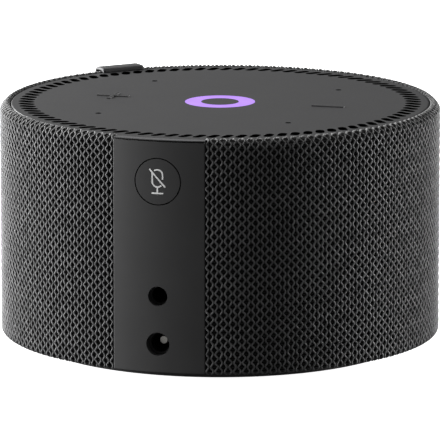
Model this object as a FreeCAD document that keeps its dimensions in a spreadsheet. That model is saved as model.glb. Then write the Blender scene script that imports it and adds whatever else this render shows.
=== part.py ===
import FreeCAD, Part
import math
import os
from types import SimpleNamespace

import Sketcher
from FreeCAD import Placement, Rotation, Vector

# A round smart home hub with a fabric side, in millimetres. +Z is up, the origin is the
# centre of the rubber foot's underside, and -Y is the rear, where the connection panel is.

SIZES = {
    # envelope
    "outer_radius": 48.75,
    "body_lift": 2.0,
    "disc_top": 53.0,
    "fabric_thick": 1.1,
    "rim_top": 53.3,
    "rim_round": 2.0,
    "hem_round": 0.8,
    "hem_inner": 46.5,
    "shell_gap": 0.3,
    # touch disc
    "disc_radius": 46.3,
    "disc_thick": 1.6,
    "slot_count": 90,
    "slot_ring": 42.8,
    "slot_long": 3.9,
    "slot_wide": 1.95,
    "slot_slant": -30,
    "mic_offset": 21.5,
    "mic_radius": 0.7,
    "mark_offset": 24.7,
    "mark_long": 7.3,
    "mark_wide": 0.9,
    "mark_rise": 0.35,
    "mark_round": 0.28,
    "glow_outer": 7.8,
    "glow_inner": 4.2,
    "disc_boss_ring": 37.6,
    # frame behind the fabric
    "frame_inner": 45.0,
    "frame_bottom": 2.7,
    "window_count": 24,
    "window_half": 4.1,
    "panel_seat_radius": 46.6,
    "crossbar_low": 27.0,
    "crossbar_high": 33.0,
    "lip_radius": 48.6,
    "lip_low": 52.8,
    "lug_ring": 43.2,
    # carry ribbon
    "ribbon_wide": 10.0,
    "ribbon_thick": 0.6,
    "ribbon_rise": 0.8,
    "ribbon_drop": 7.9,
    "ribbon_inner": 45.1,
    # rear panel and mute button
    "panel_half": 10.2,
    "panel_thick": 1.9,
    "panel_low": 2.3,
    "panel_high": 52.52,
    "button_up": 43.9,
    "button_hole": 5.18,
    "button_radius": 4.93,
    "button_flange": 5.6,
    "plunger_radius": 1.6,
    "plunger_fit": 0.08,
    "panel_screw_side": 6.2,
    "panel_screw_up": 30.0,
    # sockets
    "audio_up": 18.9,
    "audio_hole": 2.15,
    "audio_bore": 1.8,
    "audio_deep": 14.2,
    "power_up": 8.4,
    "power_hole": 2.575,
    "power_bore": 2.1,
    "power_deep": 10.5,
    "pin_radius": 0.8,
    "socket_face": 46.7,
    # foot and base
    "foot_radius": 42.0,
    "foot_recess": 0.6,
    "cover_radius": 46.2,
    "cover_top": 4.4,
    "base_screw_ring": 39.5,
    # speaker chamber
    "chamber_radius": 33.0,
    "chamber_flat": 29.5,
    "chamber_wall": 1.8,
    "chamber_low": 8.5,
    "chamber_joint": 24.0,
    "chamber_high": 36.4,
    "chamber_seal": 0.8,
    "chamber_foot_ring": 36.3,
    "radiator_hole": 24.0,
    "driver_hole": 23.6,
    # driver
    "flange_radius": 27.0,
    "cone_radius": 18.2,
    "coil_inner": 9.85,
    "coil_outer": 10.3,
    "pole_radius": 9.55,
    "magnet_radius": 19.0,
    "yoke_low": 15.0,
    "magnet_low": 17.5,
    "washer_low": 24.0,
    "washer_high": 26.5,
    # passive radiator
    "radiator_radius": 17.6,
    "radiator_low": 9.2,
    # electronics stack, each level an underside
    "carrier_low": 41.8,
    "carrier_thick": 1.2,
    "carrier_radius": 33.0,
    "spreader_low": 43.3,
    "main_board_low": 45.6,
    "top_board_low": 49.0,
    "board_thick": 1.0,
    "board_radius": 31.0,
    "spacer_ring": 27.8,
    "film_low": 51.15,
}

doc = FreeCAD.newDocument("smart_home_hub")
sheet = doc.addObject("Spreadsheet::Sheet", "Sizes")
for row, (alias, value) in enumerate(SIZES.items(), start=1):
    sheet.set(f"A{row}", alias.replace("_", " "))
    sheet.set(f"B{row}", str(value))
    sheet.setAlias(f"B{row}", alias)
doc.recompute()


# ---------------------------------------------------------------- sizes and bindings
class Size:
    """A number worked out from the sheet, with the expression that gives it."""

    def __init__(self, text, value):
        self.text = text
        self.value = value

    def joined(self, sign, other, value):
        return Size(f"({self.text} {sign} {text_of(other)})", value)

    def __add__(self, other):
        return self.joined("+", other, self.value + number(other))

    def __sub__(self, other):
        return self.joined("-", other, self.value - number(other))

    def __mul__(self, other):
        return self.joined("*", other, self.value * number(other))

    def __truediv__(self, other):
        return self.joined("/", other, self.value / number(other))

    def __neg__(self):
        return Size(f"(-1 * {self.text})", -self.value)

    def __radd__(self, other):
        return self + other

    def __rsub__(self, other):
        return -self + other

    def at(self, azimuth):
        """The point at this distance from the axis: X and Y, with the azimuth from +X."""
        turn = math.radians(azimuth)
        across = Size(f"({self.text} * cos({azimuth}))", self.value * math.cos(turn))
        along = Size(f"({self.text} * sin({azimuth}))", self.value * math.sin(turn))
        return across, along


def number(size):
    return size.value if isinstance(size, Size) else size


def text_of(size):
    return size.text if isinstance(size, Size) else str(size)


def bind(thing, name, size):
    """Ties one property of an object to the sheet, or sets it if it is a plain number."""
    thing.setExpression(name, text_of(size))


S = SimpleNamespace(**{alias: Size(f"Sizes.{alias}", v) for alias, v in SIZES.items()})
pieces = []


def piece(thing, label):
    thing.Label = label
    pieces.append(thing)
    return thing


# ---------------------------------------------------------------- sketched bodies
def new_body(label):
    return piece(doc.addObject("PartDesign::Body", label), label)


def new_sketch(body, role, lift=0, across=0, up=0, turn=0):
    """A sketch on one of the body's own origin planes: lift is along the plane's normal."""
    sketch = body.newObject("Sketcher::SketchObject", body.Name + "_sketch")
    plane = next(part for part in body.Origin.OriginFeatures if part.Role == role)
    sketch.AttachmentSupport = (plane, [""])
    sketch.MapMode = "FlatFace"
    spin = Rotation(Vector(0, 0, 1), number(turn))
    sketch.AttachmentOffset = Placement(Vector(0, 0, 0), spin)
    for axis, size in zip("xyz", (across, up, lift)):
        bind(sketch, f"AttachmentOffset.Base.{axis}", size)
    return sketch


def tie(sketch, kind, size, index, spot):
    """Fixes one coordinate of a point of the sketch, measured from its origin."""
    rule = Sketcher.Constraint(kind, -1, 1, index, spot, float(number(size)))
    name = sketch.addConstraint(rule)
    if isinstance(size, Size):
        bind(sketch, f"Constraints[{name}]", size)


def outline(sketch, corners):
    """A closed outline of straight sides, with every corner tied to the sheet."""
    first = sketch.GeometryCount
    count = len(corners)
    spots = [Vector(number(a), number(b), 0) for a, b in corners]
    for i in range(count):
        sketch.addGeometry(Part.LineSegment(spots[i], spots[(i + 1) % count]))
    for i in range(count):
        after = first + (i + 1) % count
        sketch.addConstraint(Sketcher.Constraint("Coincident", first + i, 2, after, 1))
    for i, (across, along) in enumerate(corners):
        tie(sketch, "DistanceX", across, first + i, 1)
        tie(sketch, "DistanceY", along, first + i, 1)


def rectangle(sketch, low_x, high_x, low_y, high_y):
    outline(sketch, [(low_x, low_y), (high_x, low_y), (high_x, high_y), (low_x, high_y)])


def circle(sketch, radius, across=0, along=0):
    centre = Vector(number(across), number(along), 0)
    index = sketch.addGeometry(Part.Circle(centre, Vector(0, 0, 1), number(radius)))
    tie(sketch, "DistanceX", across, index, 3)
    tie(sketch, "DistanceY", along, index, 3)
    rule = sketch.addConstraint(Sketcher.Constraint("Radius", index, float(number(radius))))
    if isinstance(radius, Size):
        bind(sketch, f"Constraints[{rule}]", radius)


def slot(sketch, length, width):
    """A slot with round ends, centred on the sketch's origin and running along its X."""
    radius = width / 2
    reach = (length - width) / 2
    right, left = Vector(number(reach), 0, 0), Vector(-number(reach), 0, 0)
    side = Vector(0, number(radius), 0)
    normal = Vector(0, 0, 1)
    quarter = math.pi / 2
    left_end = Part.ArcOfCircle(Part.Circle(left, normal, number(radius)), quarter, 3 * quarter)
    right_end = Part.ArcOfCircle(Part.Circle(right, normal, number(radius)), -quarter, quarter)
    lower = Part.LineSegment(left - side, right - side)
    upper = Part.LineSegment(right + side, left + side)
    a, b, c, d = sketch.addGeometry([left_end, lower, right_end, upper])
    for one, end, other, start in ((a, 2, b, 1), (b, 2, c, 1), (c, 2, d, 1), (d, 2, a, 1)):
        sketch.addConstraint(Sketcher.Constraint("Tangent", one, end, other, start))
    sketch.addConstraint(Sketcher.Constraint("Equal", a, c))
    for index, place in ((a, -reach), (c, reach)):
        tie(sketch, "DistanceX", place, index, 3)
        tie(sketch, "DistanceY", 0, index, 3)
    rule = sketch.addConstraint(Sketcher.Constraint("Radius", a, float(number(radius))))
    bind(sketch, f"Constraints[{rule}]", radius)


def d_shape(sketch, radius, flat):
    """A circle about the origin with a flat side at Y = -flat."""
    half = math.sqrt(number(radius) ** 2 - number(flat) ** 2)
    start = math.atan2(-number(flat), half)
    ring = Part.Circle(Vector(0, 0, 0), Vector(0, 0, 1), number(radius))
    arc = sketch.addGeometry(Part.ArcOfCircle(ring, start, math.pi - start))
    low = -number(flat)
    side = sketch.addGeometry(Part.LineSegment(Vector(-half, low, 0), Vector(half, low, 0)))
    sketch.addConstraint(Sketcher.Constraint("Coincident", arc, 2, side, 1))
    sketch.addConstraint(Sketcher.Constraint("Coincident", side, 2, arc, 1))
    sketch.addConstraint(Sketcher.Constraint("Coincident", arc, 3, -1, 1))
    sketch.addConstraint(Sketcher.Constraint("Horizontal", side))
    rule = sketch.addConstraint(Sketcher.Constraint("Radius", arc, float(number(radius))))
    bind(sketch, f"Constraints[{rule}]", radius)
    tie(sketch, "DistanceY", -flat, side, 1)


def feature(body, kind, sketch):
    made = body.newObject(f"PartDesign::{kind}", f"{body.Name}_{kind.lower()}")
    made.Profile = (sketch, [""])
    return made


def pad(body, sketch, length, reverse=False):
    made = feature(body, "Pad", sketch)
    bind(made, "Length", length)
    made.Reversed = reverse
    return made


def pocket(body, sketch, length, reverse=False):
    """A cut against the sketch's normal, or along it if reversed, that must remove material."""
    doc.recompute()
    before = body.Shape.Volume
    made = feature(body, "Pocket", sketch)
    bind(made, "Length", length)
    made.Reversed = reverse
    doc.recompute()
    if not body.Shape.Volume < before:
        raise ValueError(f"{made.Name} cut nothing")
    return made


def revolve(body, sketch):
    made = feature(body, "Revolution", sketch)
    made.ReferenceAxis = (sketch, ["V_Axis"])
    made.Angle = 360
    return made


def round_pattern(body, original, count):
    """Repeats a feature round the Z axis."""
    pattern = body.newObject("PartDesign::PolarPattern", body.Name + "_pattern")
    pattern.Originals = [original]
    z_axis = next(part for part in body.Origin.OriginFeatures if part.Role == "Z_Axis")
    pattern.Axis = (z_axis, [""])
    pattern.Angle = 360
    bind(pattern, "Occurrences", count)
    body.Tip = pattern
    return pattern


def round_edges(body, radius, chosen):
    """Fillets the edges of the body's last feature that chosen accepts."""
    doc.recompute()
    base = body.Tip
    names = [f"Edge{i}" for i, e in enumerate(base.Shape.Edges, start=1) if chosen(e)]
    made = body.newObject("PartDesign::Fillet", body.Name + "_fillet")
    made.Base = (base, names)
    bind(made, "Radius", radius)
    return made


def is_circle_at(radius, up):
    """Chooses the whole or part circles of one radius about the Z axis at one height."""

    def chosen(edge):
        curve = edge.Curve
        if not isinstance(curve, Part.Circle):
            return False
        level = abs(curve.Center.z - number(up)) < 1e-4
        return level and abs(curve.Radius - number(radius)) < 1e-4 and edge.Length > 1

    return chosen


def is_level(up):
    """Chooses the edges that lie at one height."""

    def chosen(edge):
        return all(abs(vertex.Z - number(up)) < 1e-4 for vertex in edge.Vertexes)

    return chosen


def turned(label, corners):
    """A body turned about the Z axis from an outline of (radius, height) corners."""
    body = new_body(label)
    sketch = new_sketch(body, "XZ_Plane")
    outline(sketch, corners)
    revolve(body, sketch)
    return body


def ring_corners(inner, outer, low, high):
    return [(inner, low), (outer, low), (outer, high), (inner, high)]


# ---------------------------------------------------------------- primitives
TURNS = {
    "up": Rotation(),
    "down": Rotation(Vector(1, 0, 0), 180),
    "inward": Rotation(Vector(1, 0, 0), -90),
    "outward": Rotation(Vector(1, 0, 0), 90),
}


def put(thing, at, way="up"):
    """Places a primitive: inward runs along +Y, from the rear panel to the middle."""
    thing.Placement = Placement(Vector(0, 0, 0), TURNS[way])
    for axis, size in zip("xyz", at):
        bind(thing, f"Placement.Base.{axis}", size)
    return thing


def cylinder(radius, height, at, way="up"):
    made = doc.addObject("Part::Cylinder", "cylinder")
    bind(made, "Radius", radius)
    bind(made, "Height", height)
    return put(made, at, way)


def block(x, y, z):
    """A box from its low and high coordinate along each axis."""
    made = doc.addObject("Part::Box", "block")
    for name, (low, high) in zip(("Length", "Width", "Height"), (x, y, z)):
        bind(made, name, high - low)
    return put(made, (x[0], y[0], z[0]))


def cut(base, tool):
    made = doc.addObject("Part::Cut", "cut")
    made.Base, made.Tool = base, tool
    return made


def common(base, tool):
    made = doc.addObject("Part::Common", "common")
    made.Base, made.Tool = base, tool
    return made


def fuse(*shapes):
    made = doc.addObject("Part::MultiFuse", "fuse")
    made.Shapes = list(shapes)
    return made


def group(*shapes):
    """Separate solids that share one node."""
    made = doc.addObject("Part::Compound", "group")
    made.Links = list(shapes)
    return made


def tube(outer, inner, height, at, way="up"):
    return cut(cylinder(outer, height, at, way), cylinder(inner, height, at, way))


SCREW_HEAD = 1.0
SCREW_SOCKET = 0.55


def screw(at, head_radius, shank_radius, length, way="up"):
    """A pan-head screw: at is the middle of the seat under its head, way is the shank's."""
    back = {"up": (0, 0, -1), "down": (0, 0, 1), "outward": (0, 1, 0), "inward": (0, -1, 0)}[way]
    top = [a + b * SCREW_HEAD for a, b in zip(at, back)]
    shank = cylinder(shank_radius, length, at, way)
    head = cylinder(head_radius, SCREW_HEAD, top, way)
    socket = cylinder(SCREW_SOCKET, SCREW_HEAD / 2, top, way)
    return cut(fuse(head, shank), socket)


CORNERS = (45, 135, 225, 315)
FOOT_AZIMUTHS = (0, 90, 180)
SPACER_AZIMUTHS = (20, 110, 200, 290)


# ---------------------------------------------------------------- foot and base
def foot_and_base():
    recess_top = S.body_lift + S.foot_recess
    turned("base_foot_pad", ring_corners(0, S.foot_radius, 0, recess_top))

    cover = turned(
        "base_cover",
        [
            (0, recess_top),
            (S.foot_radius + 0.15, recess_top),
            (S.foot_radius + 0.15, S.body_lift),
            (S.cover_radius, S.body_lift),
            (S.cover_radius, S.frame_bottom - 0.05),
            (S.cover_radius - 1.4, S.cover_top),
            (0, S.cover_top),
        ],
    )
    # posts that carry the speaker chamber
    posts = new_sketch(cover, "XY_Plane", lift=S.cover_top)
    for azimuth in FOOT_AZIMUTHS:
        circle(posts, 2.6, *S.chamber_foot_ring.at(azimuth))
    pad(cover, posts, S.chamber_low - S.cover_top)
    pilots = new_sketch(cover, "XY_Plane", lift=S.chamber_low)
    for azimuth in FOOT_AZIMUTHS:
        circle(pilots, 0.8, *S.chamber_foot_ring.at(azimuth))
    pocket(cover, pilots, 5.0)
    # counterbored holes for the base screws, which the foot pad covers
    counterbores = new_sketch(cover, "XY_Plane", lift=recess_top)
    for azimuth in CORNERS:
        circle(counterbores, 2.1, *S.base_screw_ring.at(azimuth))
    pocket(cover, counterbores, SCREW_HEAD + 0.1, reverse=True)
    holes = new_sketch(cover, "XY_Plane", lift=recess_top)
    for azimuth in CORNERS:
        circle(holes, 1.1, *S.base_screw_ring.at(azimuth))
    pocket(cover, holes, 3.0, reverse=True)

    seat = recess_top + SCREW_HEAD + 0.1
    spots = [(*S.base_screw_ring.at(azimuth), seat) for azimuth in CORNERS]
    piece(group(*[screw(spot, 1.9, 0.95, 5.6, "up") for spot in spots]), "base_screws")


# ---------------------------------------------------------------- frame and fabric
def outer_frame():
    outer = S.outer_radius - S.fabric_thick - 0.05
    ledge_top = S.disc_top - S.disc_thick - 0.05
    rim_inner = S.disc_radius + 0.75
    rim_top = S.rim_top - S.fabric_thick
    frame = turned(
        "outer_frame",
        [
            (S.frame_inner, S.frame_bottom + 1.8),
            (S.frame_inner + 1.3, S.frame_bottom + 0.1),
            (outer, S.frame_bottom + 0.1),
            (outer, rim_top),
            (rim_inner, rim_top),
            (rim_inner, ledge_top),
            (S.frame_inner, ledge_top),
        ],
    )
    # lugs for the base screws and for the electronics carrier
    low_lugs = new_sketch(frame, "XY_Plane", lift=S.cover_top + 0.1)
    high_lugs = new_sketch(frame, "XY_Plane", lift=S.carrier_low - 5.0)
    for azimuth in CORNERS:
        circle(low_lugs, 2.6, *S.base_screw_ring.at(azimuth))
        circle(high_lugs, 2.5, *S.lug_ring.at(azimuth))
    pad(frame, low_lugs, 5.5)
    pad(frame, high_lugs, 5.0)
    arms = new_sketch(frame, "XY_Plane", lift=S.cover_top + 0.1, turn=45)
    long_arm, half_arm = S.frame_inner + 1.0, 1.6
    rectangle(arms, S.base_screw_ring, long_arm, -half_arm, half_arm)
    first_arm = pad(frame, arms, 5.5)
    round_pattern(frame, first_arm, 4)
    pilots = new_sketch(frame, "XY_Plane", lift=S.cover_top + 0.1)
    high_pilots = new_sketch(frame, "XY_Plane", lift=S.carrier_low)
    for azimuth in CORNERS:
        circle(pilots, 1.0, *S.base_screw_ring.at(azimuth))
        circle(high_pilots, 0.85, *S.lug_ring.at(azimuth))
    pocket(frame, pilots, 5.0, reverse=True)
    pocket(frame, high_pilots, 4.5)

    # sound windows all round, between the upper and lower hoops
    windows = new_sketch(frame, "YZ_Plane", lift=S.frame_inner - 1.0)
    half = S.window_half
    rectangle(windows, -half, half, S.cover_top + 6.6, S.crossbar_low)
    rectangle(windows, -half, half, S.crossbar_low + 2.2, S.carrier_low - 5.6)
    rectangle(windows, -half, half, S.carrier_low + 2.0, ledge_top - 2.4)
    window = pocket(frame, windows, 6.0, reverse=True)
    round_pattern(frame, window, S.window_count)

    # a recessed seat for the rear panel, and the two openings behind it
    seat = new_sketch(frame, "XY_Plane", lift=S.frame_bottom - 1.0)
    side = S.panel_half + S.shell_gap
    arc_strip(seat, S.panel_seat_radius, S.outer_radius + 1.0, side)
    pocket(frame, seat, S.rim_top, reverse=True)
    bar = new_sketch(frame, "XY_Plane", lift=S.crossbar_low)
    rectangle(bar, -side - 1.0, side + 1.0, -S.frame_inner - 0.3, -S.frame_inner + 1.9)
    pad(frame, bar, S.crossbar_high - S.crossbar_low)
    openings = new_sketch(frame, "XZ_Plane", lift=S.chamber_flat)
    rectangle(openings, -side + 1.2, side - 1.2, S.cover_top + 0.4, S.crossbar_low)
    rectangle(openings, -side + 1.2, side - 1.2, S.crossbar_high, ledge_top - 1.6)
    pocket(frame, openings, 25.0, reverse=True)
    passages = new_sketch(frame, "XZ_Plane", lift=S.frame_inner + 1.8)
    for way in (-1, 1):
        circle(passages, 0.9, S.panel_screw_side * way, S.panel_screw_up)
    pocket(frame, passages, 4.0)

    # the lip that closes the gap between the disc and the rear panel
    lip = new_sketch(frame, "XY_Plane", lift=S.lip_low)
    arc_strip(lip, rim_inner - 0.3, S.lip_radius, S.panel_half - 0.1)
    pad(frame, lip, S.disc_top - 0.02 - S.lip_low)
    neck = new_sketch(frame, "XY_Plane", lift=ledge_top - 0.15)
    arc_strip(neck, S.frame_inner + 1.0, S.outer_radius - 1.35, S.panel_half - 0.4)
    pad(frame, neck, S.lip_low - ledge_top + 0.15)
    cut_back = new_sketch(frame, "XY_Plane", lift=ledge_top)
    circle(cut_back, S.disc_radius + 0.2)
    pocket(frame, cut_back, 3.0, reverse=True)


def arc_strip(sketch, inner, outer, half):
    """A strip between two arcs about the axis, on the -Y side, with sides at X = +-half."""
    reach_in = math.asin(number(half) / number(inner))
    reach_out = math.asin(number(half) / number(outer))
    down = -math.pi / 2
    origin, normal = Vector(0, 0, 0), Vector(0, 0, 1)
    outer_circle = Part.Circle(origin, normal, number(outer))
    inner_circle = Part.Circle(origin, normal, number(inner))
    far = sketch.addGeometry(Part.ArcOfCircle(outer_circle, down - reach_out, down + reach_out))
    near = sketch.addGeometry(Part.ArcOfCircle(inner_circle, down - reach_in, down + reach_in))
    spots = [sketch.getPoint(*end) for end in ((far, 2), (near, 2), (near, 1), (far, 1))]
    right = sketch.addGeometry(Part.LineSegment(spots[0], spots[1]))
    left = sketch.addGeometry(Part.LineSegment(spots[2], spots[3]))
    joins = ((far, 2, right, 1), (right, 2, near, 2), (near, 1, left, 1), (left, 2, far, 1))
    for one, end, other, start in joins:
        sketch.addConstraint(Sketcher.Constraint("Coincident", one, end, other, start))
    for index, radius in ((far, outer), (near, inner)):
        sketch.addConstraint(Sketcher.Constraint("Coincident", index, 3, -1, 1))
        rule = sketch.addConstraint(Sketcher.Constraint("Radius", index, float(number(radius))))
        bind(sketch, f"Constraints[{rule}]", radius)
    for index, place in ((right, half), (left, -half)):
        sketch.addConstraint(Sketcher.Constraint("Vertical", index))
        tie(sketch, "DistanceX", place, index, 1)


def fabric_sleeve():
    inner = S.outer_radius - S.fabric_thick
    sleeve = turned(
        "fabric_sleeve",
        [
            (S.hem_inner, S.body_lift),
            (S.outer_radius, S.body_lift),
            (S.outer_radius, S.rim_top),
            (S.hem_inner + 0.05, S.rim_top),
            (S.hem_inner + 0.05, S.rim_top - S.fabric_thick + 0.03),
            (inner, S.rim_top - S.fabric_thick + 0.03),
            (inner, S.frame_bottom),
            (S.hem_inner, S.frame_bottom),
        ],
    )
    round_edges(sleeve, S.rim_round, is_circle_at(S.outer_radius, S.rim_top))
    round_edges(sleeve, S.hem_round, is_circle_at(S.outer_radius, S.body_lift))
    # the opening that the rear panel fills, from hem to rim
    gap = new_sketch(sleeve, "XZ_Plane", lift=S.frame_inner - 5.0)
    side = S.panel_half + 0.25
    rectangle(gap, -side, side, 0, S.rim_top + 1.0)
    pocket(sleeve, gap, 12.0, reverse=True)


RIBBON_AZIMUTH = 135


def carry_ribbon():
    """The woven tab at the rear left: a flat fold from the disc's border over the rim."""
    body = new_body("ribbon_tab")
    sketch = new_sketch(body, "XZ_Plane")
    clear = 0.05
    foot, under = S.disc_top + clear, S.rim_top + clear
    top, low = S.rim_top + S.ribbon_rise, S.rim_top - S.ribbon_drop
    inner, outer = S.ribbon_inner, S.outer_radius + 0.15
    far = outer + S.ribbon_thick
    bevel = 0.45
    outline(
        sketch,
        [
            (inner, foot),
            (inner + S.ribbon_thick, foot),
            (inner + S.ribbon_thick, under),
            (outer, under),
            (outer, low),
            (far, low),
            (far, top - bevel),
            (far - bevel, top),
            (inner + bevel, top),
            (inner, top - bevel),
        ],
    )
    made = pad(body, sketch, S.ribbon_wide)
    made.SideType = "Symmetric"
    body.Placement = Placement(Vector(0, 0, 0), Rotation(Vector(0, 0, 1), RIBBON_AZIMUTH))


# ---------------------------------------------------------------- rear panel
def rear_panel():
    panel = new_body("rear_panel")
    plan = new_sketch(panel, "XY_Plane", lift=S.panel_low)
    arc_strip(plan, S.outer_radius - S.panel_thick, S.outer_radius, S.panel_half)
    pad(panel, plan, S.panel_high - S.panel_low)
    rabbet = new_sketch(panel, "XY_Plane", lift=S.panel_high)
    arc_strip(rabbet, S.frame_inner + 1.0, S.outer_radius - 1.2, S.panel_half + 0.2)
    pocket(panel, rabbet, 1.5)
    holes = new_sketch(panel, "XZ_Plane", lift=S.frame_inner)
    circle(holes, S.button_hole, 0, S.button_up)
    circle(holes, S.audio_hole, 0, S.audio_up)
    circle(holes, S.power_hole, 0, S.power_up)
    pocket(panel, holes, 6.0, reverse=True)
    pilots = new_sketch(panel, "XZ_Plane", lift=S.frame_inner + 1.2)
    for way in (-1, 1):
        circle(pilots, 0.7, S.panel_screw_side * way, S.panel_screw_up)
    pocket(panel, pilots, 1.6, reverse=True)

    def outer_side(edge):
        box = edge.BoundBox
        tall = box.ZLength > 40
        return tall and math.hypot(box.XMax, box.YMin) > number(S.outer_radius) - 0.1

    round_edges(panel, 0.25, outer_side)

    seat_y = -S.frame_inner + 1.9
    spots = [(S.panel_screw_side * way, seat_y, S.panel_screw_up) for way in (-1, 1)]
    piece(group(*[screw(spot, 1.8, 0.65, 4.5, "outward") for spot in spots]), "panel_screws")


def mute_button():
    flange_face = S.socket_face - 0.7
    cap = common(
        cylinder(S.button_radius, 4.0, (0, -flange_face, S.button_up), "outward"),
        cylinder(S.outer_radius, 20, (0, 0, S.button_up - 10)),
    )
    flange = cylinder(S.button_flange, 0.8, (0, -flange_face, S.button_up), "inward")
    piece(fuse(cap, flange), "mute_button")

    plunger_end = flange_face - 0.8
    plunger = cylinder(S.plunger_radius, 1.8, (0, -plunger_end, S.button_up), "inward")
    piece(plunger, "switch_plunger")

    board_face = S.socket_face - 5.0
    bore = S.plunger_radius + S.plunger_fit
    case = block(
        (-3.0, 3.0),
        (-board_face - 2.8, -board_face),
        (S.button_up - 3.0, S.button_up + 3.0),
    )
    well = cylinder(bore, 2.4, (0, -board_face - 2.9, S.button_up), "inward")
    piece(cut(case, well), "mute_switch")
    board = block(
        (-7.0, 7.0),
        (-board_face, -board_face + S.board_thick),
        (S.button_up - 5.4, S.button_up + 5.1),
    )
    piece(board, "button_board")


def rear_sockets():
    board_y = -S.chamber_flat - 1.9
    board = block((-9.0, 9.0), (board_y, board_y + S.board_thick), (S.cover_top + 0.4, 26.0))
    piece(board, "socket_board")

    shell_y = -S.socket_face + 0.6
    audio_body = block((-3.2, 3.2), (shell_y, board_y), (S.audio_up - 3.0, S.audio_up + 3.0))
    audio_nose = cylinder(2.6, 1.0, (0, -S.socket_face, S.audio_up), "inward")
    audio_bore = cylinder(S.audio_bore, S.audio_deep, (0, -S.socket_face, S.audio_up), "inward")
    spring_slot = block(
        (1.2, 2.9), (shell_y + 3.0, board_y - 1.0), (S.audio_up - 0.5, S.audio_up + 0.5)
    )
    other_slot = block(
        (-2.9, -1.2), (shell_y + 6.0, board_y - 1.0), (S.audio_up - 0.5, S.audio_up + 0.5)
    )
    hollow = fuse(audio_bore, spring_slot, other_slot)
    piece(cut(fuse(audio_body, audio_nose), hollow), "audio_jack")
    spring = block(
        (1.95, 2.25), (shell_y + 3.2, board_y - 1.2), (S.audio_up - 0.4, S.audio_up + 0.4)
    )
    other_spring = block(
        (-2.25, -1.95), (shell_y + 6.2, board_y - 1.2), (S.audio_up - 0.4, S.audio_up + 0.4)
    )

    power_end = -S.socket_face + S.power_deep
    power_body = block((-4.2, 4.2), (shell_y, board_y), (S.power_up - 3.3, S.power_up + 3.3))
    power_nose = cylinder(3.1, 1.0, (0, -S.socket_face, S.power_up), "inward")
    power_bore = cylinder(S.power_bore, S.power_deep, (0, -S.socket_face, S.power_up), "inward")
    pin_hole = cylinder(S.pin_radius, 4.0, (0, power_end - 0.5, S.power_up), "inward")
    leaf_slot = block(
        (-0.9, 0.9), (shell_y + 3.5, power_end - 0.5), (S.power_up + 2.0, S.power_up + 3.0)
    )
    power_shell = cut(fuse(power_body, power_nose), fuse(power_bore, pin_hole, leaf_slot))
    piece(power_shell, "power_jack")
    pin_tip = -S.socket_face + 2.6
    pin = cylinder(S.pin_radius, 10.0, (0, pin_tip, S.power_up), "inward")
    piece(pin, "power_pin")
    leaf = block(
        (-0.7, 0.7), (shell_y + 3.7, power_end - 0.7), (S.power_up + 2.55, S.power_up + 2.8)
    )
    piece(group(spring, other_spring, leaf), "socket_springs")

    # flat cable from the socket board up to the main board
    cable = new_body("flat_cable")
    path = new_sketch(cable, "YZ_Plane")
    flat, near, far = 0.3, board_y - 0.02, -S.carrier_radius - 0.9
    cable_low, cable_wide = 22.6, 8.0
    step_low, step_high = S.chamber_high - 0.5, S.chamber_high + 3.0
    top = S.main_board_low + S.board_thick + 0.6
    outline(
        path,
        [
            (near, cable_low),
            (near, step_low),
            (far, step_high),
            (far, top - flat),
            (-S.spacer_ring, top - flat),
            (-S.spacer_ring, top),
            (far - flat, top),
            (far - flat, step_high - 0.1),
            (near - flat, step_low - 0.1),
            (near - flat, cable_low),
        ],
    )
    made = pad(cable, path, cable_wide)
    made.SideType = "Symmetric"


# ---------------------------------------------------------------- touch disc
def touch_disc():
    under = S.disc_top - S.disc_thick
    disc = turned("touch_disc", ring_corners(S.glow_outer, S.disc_radius, under, S.disc_top))
    round_edges(disc, 0.45, is_circle_at(S.disc_radius, S.disc_top))

    holes = new_sketch(disc, "XY_Plane", lift=S.disc_top)
    for x_way in (-1, 1):
        for y_way in (-1, 1):
            circle(holes, S.mic_radius, S.mic_offset * x_way, S.mic_offset * y_way)
    pocket(disc, holes, S.disc_thick)

    # a plus at -X and a minus at +X, raised so that a finger finds them
    arm, half = S.mark_long / 2, S.mark_wide / 2
    left, right = -S.mark_offset, S.mark_offset
    bars = new_sketch(disc, "XY_Plane", lift=S.disc_top)
    plus = [
        (left - arm, -half), (left - half, -half), (left - half, -arm), (left + half, -arm),
        (left + half, -half), (left + arm, -half), (left + arm, half), (left + half, half),
        (left + half, arm), (left - half, arm), (left - half, half), (left - arm, half),
    ]
    outline(bars, plus)
    rectangle(bars, right - arm, right + arm, -half, half)
    pad(disc, bars, S.mark_rise)
    round_edges(disc, S.mark_round, is_level(S.disc_top + S.mark_rise))

    # bosses for the screws that hold the disc from below
    bosses = new_sketch(disc, "XY_Plane", lift=under)
    for azimuth in CORNERS:
        circle(bosses, 2.1, *S.disc_boss_ring.at(azimuth))
    pad(disc, bosses, under - S.carrier_low - S.carrier_thick - 0.05, reverse=True)
    pilots = new_sketch(disc, "XY_Plane", lift=S.carrier_low + S.carrier_thick)
    for azimuth in CORNERS:
        circle(pilots, 0.85, *S.disc_boss_ring.at(azimuth))
    pocket(disc, pilots, 6.0, reverse=True)

    # sound slots in a ring near the edge, each one slanted
    slots = new_sketch(disc, "XY_Plane", lift=S.disc_top, across=S.slot_ring, turn=S.slot_slant)
    slot(slots, S.slot_long, S.slot_wide)
    one_slot = pocket(disc, slots, S.disc_thick)
    round_pattern(disc, one_slot, S.slot_count)

    seat = S.carrier_low
    spots = [(*S.disc_boss_ring.at(azimuth), seat) for azimuth in CORNERS]
    piece(group(*[screw(spot, 1.7, 0.8, 6.5, "up") for spot in spots]), "disc_screws")

    mesh_low, mesh_high = under - 0.3, under - 0.05
    turned("slot_dust_mesh", ring_corners(40.4, 44.8, mesh_low, mesh_high))


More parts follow.
